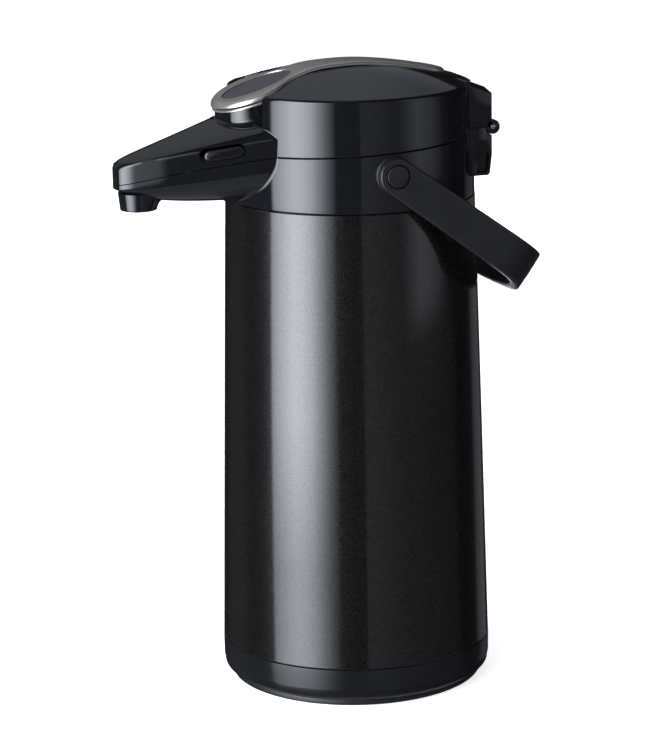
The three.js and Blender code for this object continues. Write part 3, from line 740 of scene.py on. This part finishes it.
def smooth_dome(lid):
    """Gives the cut lid the exact normals of its drum and dome, so the cut leaves no marks in the gloss."""
    mesh = lid.data
    normals = []
    for polygon in mesh.polygons:
        for index in polygon.loop_indices:
            point = mesh.vertices[mesh.loops[index].vertex_index].co / MM
            radius = hypot(point.x, point.y)
            dome = Vector((point.x, point.y, point.z - LID.apex + LID.dome)).normalized()
            drum = Vector((point.x, point.y, radius * TAPER)).normalized() if radius > 1 else dome
            exact = next((n for n in (dome, drum) if polygon.normal.dot(n) > 0.9995), None)
            on_dome = radius < shell_radius(LID.rim) - 2 * LID.corner + 0.1 and exact == dome
            on_drum = point.z < LID.rim - LID.corner - 1 and exact == drum
            normals.append(exact if on_dome or on_drum else mesh.corner_normals[index].vector.copy())
    mesh.normals_split_custom_set(normals)


# -------- latches
def latch_box(name, side, inner, outer, long, tall, shift=(0, 0)):
    """A bar with round ends on the beak's side band, from a depth inside to a height outside it."""
    radius = tall / 2 - 0.01
    outline = rounded([(-long / 2, -tall / 2, radius), (long / 2, -tall / 2, radius),
                       (long / 2, tall / 2, radius), (-long / 2, tall / 2, radius)], 8)
    turn = Matrix.Rotation(-atan(BEAK.flare), 4, "Z") @ Matrix.Rotation(LATCH.rise, 4, "X")
    centre = Vector((beak_half(LATCH.y), LATCH.y, LATCH.z))
    levels = [(inner, 0.0), (outer - 1.1, 0.0), (outer - 0.5, 0.25), (outer - 0.15, 0.7), (outer, 1.3)]
    rings = []
    for depth, shrink in levels:
        keep_long, keep_tall = 1 - 2 * shrink / long, 1 - 2 * shrink / tall
        ring = [centre + turn @ Vector((depth, a * keep_long + shift[0], b * keep_tall + shift[1]))
                for a, b in outline]
        rings.append([(side * p.x, p.y, p.z) for p in ring])
    return loft(name, rings)


def make_latches():
    for side, label in SIDES:
        tab = latch_box(f"latch_bar_{label}", side, -3.5, LATCH.proud, LATCH.long, LATCH.tall + 0.5,
                        shift=(0, 0.45))
        finish_piece(tab, f"latch_{label}", GLOSS, "gloss_black", f"latch_tab_{label}")


# -------- hinge
def hinge_loop(margin=0.0):
    width, edge, rear = HINGE.width, HINGE.edge, HINGE.rear
    back = [(t * (width + margin), edge + (rear - edge) * (1 - t * t) + margin) for t in spread(1, -1, 25)]
    return [(-width - margin, 56), (width + margin, 56)] + back


def pot_core(low, high, top):
    """The room inside the drum, which the hinge's mouldings fit against."""
    wall = [(shell_radius(z) + 0.1, z) for z in (low, high)]
    return turned("core", [(0, low)] + wall + top)


def knuckle(name, x0, x1, radius):
    return rod(name, radius, x0, x1, HINGE.y, HINGE.z, edge=0.35)


def make_hinge_cover():
    y, z, reach = HINGE.y, HINGE.z, HINGE.chamfer
    cover = prism("hinge_cover_cap", hinge_loop(), 320, 372)
    roof = across("roof", [(50, z + 0.2), (y - 0.8, z + 0.2), (y + reach, z + 0.2 + reach * 1.3), (90, 341),
                           (78, 343.4), (72.6, 348.8), (68.6, 352.6), (59, 356.4), (50, 356.4)], -60, 60)
    combine(cover, roof, "INTERSECT")
    edge = HINGE.width
    wedge = [(edge - 3.2, 372), (edge - 3.2, 357.2), (edge, 353.9), (edge + 3, 350.6), (edge + 3, 372)]
    for side in (-1, 1):
        slope = along_y("slope", [(side * x, z) for x, z in wedge], 59, 79, 8.2)
        combine(cover, slope)
    combine(cover, pot_core(300, 352, [(60, 356), (0, 356)]))
    combine(cover, tail_room())
    soften(cover, 0.8, 3)
    finish_piece(cover, "lid", GLOSS, "gloss_black", "lid_hinge_cover")
    for label, x0, x1 in both_sides(HINGE.middle + 0.3, edge):
        barrel = knuckle(f"lid_knuckle_{label}", x0, x1, HINGE.knuckle)
        finish_piece(barrel, "lid", GLOSS, "gloss_black", "lid_hinge_cover")


def tail_room():
    """The notch that the lever's tail moves in."""
    return across("room", [(52, 349.2), (82, 348.2), (82, 380), (52, 380)], -12.5, 12.5)


def make_tail():
    """The black tail of the lever, from under the silver tongue down on to the hinge."""
    top = [(45, lever_top(45) - 2.4, 0), (54, lever_top(54) - 2.2, 30), (61, 357.4, 20), (66, 355.4, 12)]
    foot = [(71.5, 352.8, 1.2), (71.5, 351.5, 0.3), (62, 350.4, 0), (45, lever_top(45) - 7, 0)]
    tail = across("lever_tail", rounded(top + foot, 5), -11.9, 11.9)
    soften(tail, 0.9, 3)
    finish_piece(tail, "lever", GLOSS, "gloss_black", "lever_arm")


def make_bracket():
    y, z, reach, low = HINGE.y, HINGE.z, HINGE.chamfer, HINGE.bottom
    bracket = prism("hinge_bracket_block", hinge_loop(), 290, 335)
    side = across("side", rounded([(50, low, 0), (67.5, low, 0), (71, low, 3), (72.6, 315, 2), (90, 316.5, 0),
                                   (90, z - 0.2 - reach * 1.3, 0), (y + reach, z - 0.2 - reach * 1.3, 0),
                                   (y - 0.8, z - 0.2, 0), (50, z - 0.2, 0)], 4), -60, 60)
    combine(bracket, side, "INTERSECT")
    combine(bracket, pot_core(280, 340, [(0, 340)]))
    recess = rounded([(62.3, 303, 0.8), (69.6, 303, 1.5), (71, 314.6, 0.8), (62.3, 314.6, 0.8)], 3)
    for _, x0, x1 in both_sides(HINGE.width - 4.0, HINGE.width + 3):
        combine(bracket, across("recess", recess, x0, x1))
    for _, x0, x1 in both_sides(HINGE.middle - 0.1, HINGE.width + 9):
        combine(bracket, knuckle("room", x0, x1, HINGE.knuckle + 0.7))
    soften(bracket, 0.5, 2)
    finish_piece(bracket, "pot", GLOSS, "gloss_black", "hinge_bracket")
    for label, x0, x1 in both_sides(HINGE.inner, HINGE.middle):
        barrel = knuckle(f"bracket_knuckle_{label}", x0, x1, HINGE.knuckle)
        finish_piece(barrel, "pot", GLOSS, "gloss_black", "hinge_bracket")


def make_hinge_pin():
    reach = HINGE.width + 0.15
    pin = rod("hinge_pin_rod", HINGE.pin, -reach, reach, HINGE.y, HINGE.z, edge=0.35, segments=32)
    finish_piece(pin, "pot", STEEL, "steel", "hinge_pin")


# -------- lever
def under_top(y, drop):
    return lever_top(y) - drop


def stack_of_loops(name, loop, levels, height):
    """A plate whose outline is a loop; each level is (offset inwards, drop) with height(y, drop)."""
    rings = [[(x, y, height(y, drop)) for x, y in offset_loop(loop, -inward)] for inward, drop in levels]
    return loft(name, rings, split=True)


def lever_drop(y):
    """Height of the lever plate's side: deep at the pad, thin along the strap."""
    blend = max(0.0, min(1.0, (y + 58) / 30))
    return 3.5 - 1.3 * blend


def plate_z(y, part):
    """Height on the silver plate: part is 1 at the foot of its side, 0 at its rim and less than 0 on top."""
    return lever_top(y) - (lever_drop(y) * part if part > 0 else part)


def make_lever_plate():
    levels = [(1.6, 1.0), (0.35, 1.0), (0.0, 0.92), (0.0, 0.66), (0.2, 0.46), (0.75, 0.24), (1.4, 0.07),
              (2.0, 0.0), (3.0, -0.02), (4.4, -0.03)]
    plate = stack_of_loops("lever_top_plate", tongue_loop(), levels, plate_z)
    combine(plate, inlay_disc("pocket", 0.25, -1.0, 10))
    finish_piece(plate, "lever", SILVER, "silver", "lever_plate", sharp=30)


def inlay_disc(name, grow, low, high):
    """The oval of the pad's inlay, as a disc that follows the pad's top."""
    wide, long = INLAY.wide + grow, INLAY.long + grow
    turn = [2 * pi * k / 96 for k in range(96)]
    levels = [(low, 1.0), (high - 0.15 if high < 1 else high, 1.0), (high, 0.985), (high, 0.9), (high, 0.6),
              (high, 0.3)]
    rings = []
    for lift, keep in levels:
        oval = [(wide * cos(a) * keep, INLAY.y + long * sin(a) * keep) for a in turn]
        rings.append([(x, y, lever_top(y) + lift) for x, y in oval])
    return loft(name, rings)


def make_inlay():
    disc = inlay_disc("lever_oval_inlay", -0.1, -0.95, -0.35)
    finish_piece(disc, "lever", INLAY_GREY, "inlay", "lever_inlay")


def make_pad_lip():
    """The thin second rim under the pad's silver rim."""
    loop = lever_loop(LEVER.front)
    levels = [(9.0, 6.1), (1.6, 6.1), (0.9, 5.8), (0.75, 5.2), (1.0, 4.75), (2.2, 4.55), (9.0, 4.55)]
    lip = stack_of_loops("lever_pad_lip", loop, levels, under_top)
    finish_piece(lip, "lever", SILVER, "silver", sharp=30)


def make_lever_arm():
    """The black arm under the silver plate, down to its pivot barrel."""
    rear = LEVER.end - 1.0
    side = [(max(2.0, x - 1.6), y) for x, y in lever_side(rear) if y > LEVER.front]
    loop = side + [(-x, y) for x, y in reversed(side)]
    levels = [(1.2, 5.6), (0.0, 5.0), (0.0, 2.6), (0.6, 2.35)]
    rings = [[(x - copysign(inward, x), y, under_top(y, drop)) for x, y in loop]
             for inward, drop in levels]
    arm = loft("lever_under_arm", rings, split=True)
    finish_piece(arm, "lever", GLOSS, "gloss_black", "lever_arm")
    barrel = rod("lever_barrel", PIVOT.radius, -PIVOT.half, PIVOT.half, PIVOT.y, PIVOT.z)
    finish_piece(barrel, "lever", INNER, "gloss_black", "lever_arm")


def skirt_foot_z(x, y):
    return roof_z(x, max(y, -84.0)) - 1.0


def make_skirt():
    """The black neck under the pad, with a foot that fills its pocket in the beak's roof."""
    pocket = lever_loop(LEVER.end, LEVER.slot - 0.45)
    skirt = loft("lever_neck", [skirt_column(angle, pocket) for angle in spread(pi, 2 * pi, 97)])
    finish_piece(skirt, "lever", GLOSS, "gloss_black", "lever_skirt")


def skirt_column(angle, pocket):
    """Section of the neck in one direction: wall, flared foot, and back up inside."""
    c, s = cos(angle), sin(angle)
    x, y = SKIRT.wide * c, SKIRT.y + SKIRT.long * s
    out_x, out_y = nearest_along(pocket, c, s)
    in_x, in_y = x * SKIRT.inner, SKIRT.y + (y - SKIRT.y) * SKIRT.inner
    top = lever_top(y) - 5.9
    foot = skirt_foot_z(x, y) + 1.2
    steps = [(x, y, top + (foot - top) * part) for part in (0.0, 0.5, 0.85)]
    for lift, part in ((0.75, 0.05), (0.3, 0.18), (0.0, 0.4), (-0.15, 0.92), (-0.5, 1.0)):
        px, py = x + (out_x - x) * part, y + (out_y - y) * part
        steps.append((px, py, skirt_foot_z(px, py) + lift))
    steps += [(px, py, skirt_foot_z(px, py) - 2.2) for px, py in ((out_x, out_y), (in_x, in_y))]
    return steps + [(in_x, in_y, top)]


def nearest_along(loop, c, s):
    """The point of a loop that lies in one direction from the neck's centre."""
    centre = Vector((0, SKIRT.y))
    return max(loop, key=lambda p: (Vector(p) - centre).normalized().dot(Vector((c, s))))


# -------- handle
def handle_point(x, s, w):
    """A place on the bail: s along the arm from the pivot, w across the strap."""
    angle = radians(HANDLE.angle)
    c, n = cos(angle), sin(angle)
    return (x, s * c + w * n, HANDLE.z - s * n + w * c)


def bail_path():
    """Middle line of the strap as (x, s, turn) from the +X pivot to the -X pivot."""
    x0 = HANDLE.outer - HANDLE.thick / 2
    turn = radians(90 - HANDLE.bow)
    corner = HANDLE.corner
    cap = [(x0, -HANDLE.boss * cos(radians(a)), 0) for a in spread(2, 86, 10)]
    straight = [(x0, s, 0) for s in spread(4, HANDLE.straight - 6, 9)]
    bend = [(x0 - corner * (1 - cos(a)), HANDLE.straight + corner * sin(a), a)
            for a in spread(0, turn, 15)]
    x_end, s_end, _ = bend[-1]
    bow = x_end / cos(turn)
    grip = [(bow * cos(a), s_end + bow * (sin(a) - sin(turn)), a)
            for a in spread(turn, pi / 2, 10)[1:]]
    half = cap + straight + bend + grip
    return half + [(-x, s, pi - a) for x, s, a in reversed(half[:-1])]


def strap_section(half, low):
    """Rounded rectangle of the strap as (thickness, across), slightly crowned on its outer face."""
    thick = HANDLE.thick / 2
    edge = min(1.5, half * 0.45)
    corners = [(thick, -low, edge), (thick + 0.25, (half - low) / 2, 0), (thick, half, edge),
               (-thick, half, edge), (-thick, -low, edge)]
    return rounded(corners, 4)


def make_bail():
    rows = []
    for x, s, turn in bail_path():
        along = min(1.0, max(0.0, s) / 100)
        half = HANDLE.boss + (HANDLE.end - HANDLE.boss) * along
        if s < 0:
            half = sqrt(max(0.05, HANDLE.boss ** 2 - s * s))
        low = half + HANDLE.grip * sin(turn) ** 4
        c, n = cos(turn), sin(turn)
        rows.append([handle_point(x + c * t, s + n * t, w) for t, w in strap_section(half, low)])
    bail = loft("handle_strap", rows)
    for _, x0, x1 in both_sides(78.6, 84):
        combine(bail, rod("seat", 7.1, x0, x1, 0, HANDLE.z, edge=0.05, segments=64))
    finish_piece(bail, "handle", SATIN, "matte_black", "handle_bail", sharp=42)


def pivot_piece(name, corners, steps, side, body, node):
    """A turned piece on the handle's axis; corners are (radius, distance from the middle, rounding)."""
    profile = [(r, side * x) for r, x in rounded(corners, steps)]
    piece = along_x(name, profile, 0, HANDLE.z, 64)
    finish_piece(piece, body, SATIN, "matte_black", node)


def make_pivots():
    outer = HANDLE.outer
    button = [(0, 78.7, 0), (6.35, 78.7, 0.1), (6.35, outer + 0.05, 0.7), (3, outer + 0.35, 3),
              (0, outer + 0.35, 0)]
    boss = [(0, 68, 0), (10.4, 68, 0), (10.4, 74.3, 0.6), (0, 74.3, 0)]
    for side, label in SIDES:
        pivot_piece(f"handle_cap_{label}", button, 4, side, "handle", f"handle_button_{label}")
        pivot_piece(f"handle_hub_{label}", boss, 3, side, "pot", f"handle_boss_{label}")


# -------- inner pieces that show when the lid is up
INNER_FINISH = {
    STEEL: ["swivel_washer", "swivel_screw", "flask_outer_wall", "flask_inner_wall", "vacuum_seal_cap",
            "valve_ball", "pump_spring", "lever_pivot_pin", "latch_spring_left", "latch_spring_right"],
    RUBBER: ["anti_slip_ring", "liner_cushion"],
    SILICONE: ["neck_gasket", "lid_seal", "bellows"],
    INNER: ["stopper_plug", "valve_cage", "lid_pan", "press_plate"],
    NATURAL: ["dip_tube", "spout_pipe"],
}


def finish_inner():
    for material, nodes in INNER_FINISH.items():
        for node in nodes:
            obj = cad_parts[node]
            if not obj.material_slots:
                obj.data.materials.append(material)
            for place in obj.material_slots:
                place.material = material


# -------- camera, floor and light
def camera_heading():
    """The level directions away from the camera and to its right."""
    azimuth = radians(CAMERA.azimuth)
    c, s = cos(azimuth), sin(azimuth)
    return Vector((-s, c, 0)), Vector((c, s, 0))


def make_camera():
    pitch, roll = radians(CAMERA.pitch), radians(CAMERA.roll)
    ahead, right = camera_heading()
    view = ahead * cos(pitch) - Vector((0, 0, sin(pitch)))
    up = ahead * sin(pitch) + Vector((0, 0, cos(pitch)))
    c, s = cos(roll), sin(roll)
    turn = Matrix((right * c + up * s, up * c - right * s, -view)).transposed().to_4x4()
    place = (Vector((0, 0, CAMERA.height)) - ahead * CAMERA.distance) * MM
    data = bpy.data.cameras.new("camera")
    data.lens = CAMERA.lens
    data.sensor_width = 36
    data.shift_x = CAMERA.shift
    data.clip_end = 60
    camera = put("camera", data)
    camera.matrix_world = Matrix.Translation(place) @ turn
    bpy.context.scene.camera = camera


def make_floor():
    corners = [(-FLOOR, -FLOOR, 0), (FLOOR, -FLOOR, 0), (FLOOR, FLOOR, 0), (-FLOOR, FLOOR, 0)]
    mesh = bpy.data.meshes.new("floor")
    mesh.from_pydata(corners, [], [(0, 1, 2, 3)])
    floor = put("floor", mesh)
    floor.location.z = -0.3 * MM
    material = shaded("pale floor", (0.82,) * 3, 0.9, tint=((2, 2), (0.80,) * 3, (0.84,) * 3))
    set_inputs(shader_of(material), Emission_Color=(1, 1, 1, 1), Emission_Strength=0.7)
    mesh.materials.append(material)
    floor.visible_glossy = False
    floor.visible_shadow = False


def panel_light(name, start, end, stops, strength, low=-900, high=1500, radius=1500, fade=None):
    """A curved soft panel round the pot, from one height to another.

    Angles are seen from the pot: 0 is towards the camera and plus is to the left. stops are (part of the
    width, brightness) pairs from the start angle to the end angle.
    """
    ahead, right = camera_heading()

    def place(part, rise):
        angle = radians(start + (end - start) * part)
        spot = (ahead * cos(angle) + right * sin(angle)) * -radius
        return (spot.x, spot.y, low + (high - low) * rise)
    light_sheet(name, place, 40, 1, stops, strength, fade)


def glow_material(name, stops, strength, fade):
    """A clear glow. stops shade it along the sheet's first direction.

    fade is (from, to, least): where the light comes up along the second direction, and its least part.
    """
    material = bpy.data.materials.new(name)
    material.use_nodes = True
    nodes, links = material.node_tree.nodes, material.node_tree.links
    nodes.clear()
    kinds = ("UVMap", "SeparateXYZ", "ValToRGB", "Emission", "BsdfTransparent", "AddShader", "OutputMaterial")
    where, split, ramp, glow, clear, both, out = (nodes.new("ShaderNode" + kind) for kind in kinds)
    set_inputs(glow, Strength=strength)
    fill_ramp(ramp, [(part, [value * c for c in LIGHT_TINT]) for part, value in stops])
    links.new(where.outputs["UV"], split.inputs["Vector"])
    links.new(split.outputs["X"], ramp.inputs["Fac"])
    links.new(ramp.outputs["Color"], glow.inputs["Color"])
    links.new(glow.outputs["Emission"], both.inputs[0])
    links.new(clear.outputs["BSDF"], both.inputs[1])
    links.new(both.outputs["Shader"], out.inputs["Surface"])
    if fade:
        low, high, least = fade
        dim = set_inputs(nodes.new("ShaderNodeMapRange"), From_Min=low, From_Max=high,
                         To_Min=strength * least, To_Max=strength)
        links.new(split.outputs["Y"], dim.inputs["Value"])
        links.new(dim.outputs["Result"], glow.inputs["Strength"])
    return material


def emitter(name, points, places, faces, stops, strength, fade=None):
    """A glowing sheet that the camera does not see; places are its points' positions in the glow."""
    mesh = bpy.data.meshes.new(name)
    mesh.from_pydata([Vector(p) * MM for p in points], [], faces)
    layer = mesh.uv_layers.new(name="place")
    for loop in mesh.loops:
        layer.data[loop.index].uv = places[loop.vertex_index]
    mesh.materials.append(glow_material(name, stops, strength, fade))
    sheet = put(name, mesh)
    sheet.visible_camera = False
    sheet.visible_shadow = False


def light_sheet(name, place, rows, columns, stops, strength, fade=None):
    """A glowing sheet whose points are place(part, part), each part running from 0 to 1."""
    places = [(u, v) for u in spread(0, 1, rows + 1) for v in spread(0, 1, columns + 1)]
    points = [place(u, v) for u, v in places]
    emitter(name, points, places, grid_faces(rows + 1, columns + 1), stops, strength, fade)


def canopy_light(name, low, high, stops, strength, lean, half_turn=75, radius=2200):
    """A curved panel over and behind the pot; stops run from a low elevation to a high one.

    On its right the low edge rises by lean degrees for each degree of turn.
    """
    ahead, right = camera_heading()

    def place(part, sideways):
        degrees = half_turn * (2 * sideways - 1)
        turn = radians(degrees)
        edge = low + lean * max(0.0, degrees - 3)
        elevation = radians(edge + (high - edge) * part)
        spot = (ahead * cos(turn) + right * sin(turn)) * cos(elevation) * radius
        return (spot.x, spot.y, 330 + radius * sin(elevation))
    light_sheet(name, place, 16, 50, stops, strength)


def make_lights():
    panel_light("key panel", 12, 76,
                [(0.0, 0.0), (0.13, 0.17), (0.25, 0.43), (0.37, 0.75), (0.49, 0.94), (0.61, 1.0),
                 (0.74, 0.82), (0.88, 0.58), (0.95, 0.45), (1.0, 0.0)], 10.5, fade=(0.185, 0.33, 0.58))
    panel_light("right panel", -10, -104,
                [(0.0, 0.7), (0.15, 0.54), (0.27, 0.41), (0.38, 0.31), (0.51, 0.27), (0.64, 0.22),
                 (0.78, 0.17), (0.94, 0.1), (1.0, 0.0)], 0.38)
    panel_light("high right panel", -45, -95,
                [(0.0, 0.0), (0.15, 0.4), (0.38, 1.0), (0.64, 0.7), (0.9, 0.15), (1.0, 0.0)], 0.6,
                radius=1450, fade=(0.398, 0.428, 0.0))
    panel_light("left edge panel", 100, 150, [(0.0, 0.0), (0.3, 0.5), (0.6, 0.3), (1.0, 0.0)], 0.12, high=300)
    panel_light("rear right panel", -128, -156, [(0.0, 0.0), (0.2, 1.0), (0.8, 1.0), (1.0, 0.0)], 0.1,
                low=-600, high=300)
    panel_light("rear panel", 165, 195, [(0.0, 0.0), (0.3, 1.0), (0.7, 1.0), (1.0, 0.0)], 4,
                low=-600, high=250)
    canopy_light("canopy", 11, 100, [(0.0, 0.3), (0.15, 0.32), (0.5, 0.8), (0.8, 1.0), (1.0, 0.6)], 0.62, 1.1)
    turn = [radians(a) for a in range(0, 360, 10)]
    disc = [(900 * cos(a), 900 * sin(a), -700) for a in turn]
    emitter("floor glow", disc, [(0.5, 0.5)] * len(disc), [tuple(range(len(disc)))], [(0.0, 1.0)], 0.3)
    make_fill()


def make_fill():
    fill = bpy.data.lights.new("front fill", "AREA")
    fill.energy = LAMP.power
    fill.size = LAMP.size
    lamp = put("front fill", fill)
    lamp.location = LAMP.place
    lamp.rotation_euler = (Vector(LAMP.aim) - lamp.location).to_track_quat("-Z", "Y").to_euler()
    lamp.visible_glossy = False


def background(tree, strength):
    node = set_inputs(tree.nodes.new("ShaderNodeBackground"), Color=(1, 1, 1, 1), Strength=strength)
    return node.outputs["Background"]


def choose(tree, is_ray, other, chosen):
    """The chosen shader for one kind of ray and another shader for the rest."""
    mix = tree.nodes.new("ShaderNodeMixShader")
    tree.links.new(is_ray, mix.inputs["Fac"])
    tree.links.new(other, mix.inputs[1])
    tree.links.new(chosen, mix.inputs[2])
    return mix.outputs["Shader"]


def make_world():
    """White behind the pot, dark in its reflections, and a soft fill for everything else."""
    world = bpy.data.worlds.new("studio")
    bpy.context.scene.world = world
    world.use_nodes = True
    tree = world.node_tree
    tree.nodes.clear()
    out = tree.nodes.new("ShaderNodeOutputWorld")
    seen, lit, dark = (background(tree, strength) for strength in (WORLD.seen, WORLD.lit, WORLD.reflected))
    ray = tree.nodes.new("ShaderNodeLightPath").outputs
    glossy = choose(tree, ray["Is Glossy Ray"], lit, dark)
    shown = choose(tree, ray["Is Camera Ray"], glossy, seen)
    tree.links.new(shown, out.inputs["Surface"])


make_camera()
make_world()
make_floor()
make_lights()
bpy.context.scene.view_settings.view_transform = "Standard"

for make in (
        make_foot, make_base, make_casing, make_collar, make_beak_lower, make_nozzle, make_beak_upper,
        make_lid, make_latches, make_hinge_cover, make_bracket, make_hinge_pin, make_lever_plate,
        make_inlay, make_pad_lip, make_lever_arm, make_tail, make_skirt, make_bail, make_pivots):
    make()
finish_inner()
